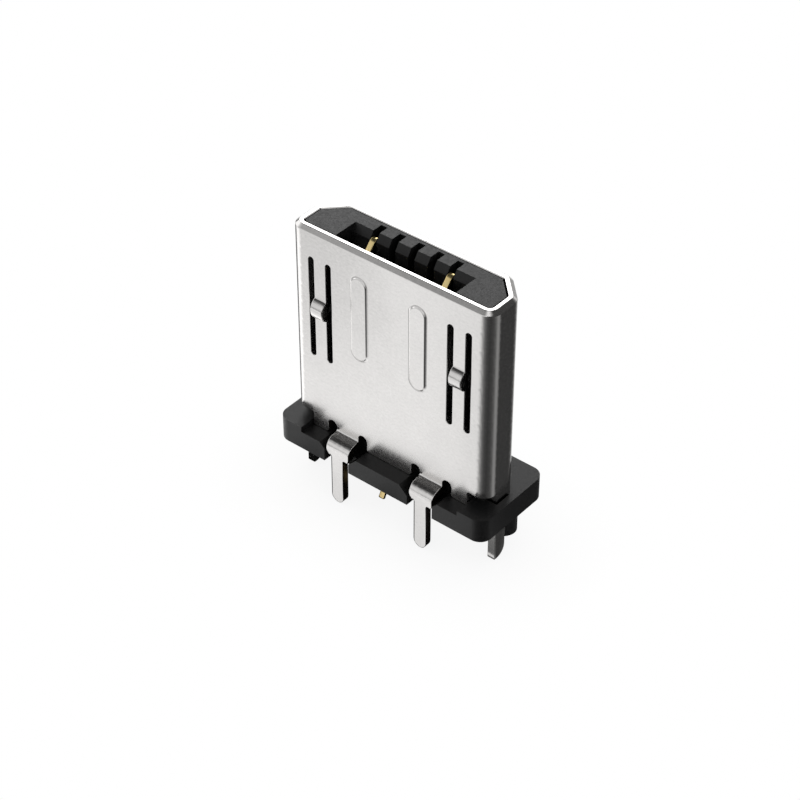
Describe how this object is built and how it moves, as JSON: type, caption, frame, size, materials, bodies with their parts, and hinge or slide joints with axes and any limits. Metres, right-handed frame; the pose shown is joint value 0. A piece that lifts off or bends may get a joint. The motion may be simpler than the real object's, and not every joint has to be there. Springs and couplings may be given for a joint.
{
  "type": "micro usb plug",
  "caption": "Upright board-mount micro usb plug: folded steel shell with latch hooks and solder legs, black base with locating pegs, gold spring contacts.",
  "frame": {"origin": "on the board's face, in the middle of the base plate and of the shell", "axes": "+Z out of the mouth, away from the board; -Y towards the side with the latch hooks; X along the plug's width"},
  "size_m": [0.0074, 0.0028, 0.0086],
  "materials": {
    "shell": "satin plating",
    "housing": "fine moulded matt",
    "contact": "gold plated"
  },
  "bodies": {
    "root": {"shell": "shell", "housing": "housing", "contact_1": "contact", "contact_2": "contact", "contact_3": "contact", "contact_4": "contact", "contact_5": "contact"}
  },
  "joints": []
}
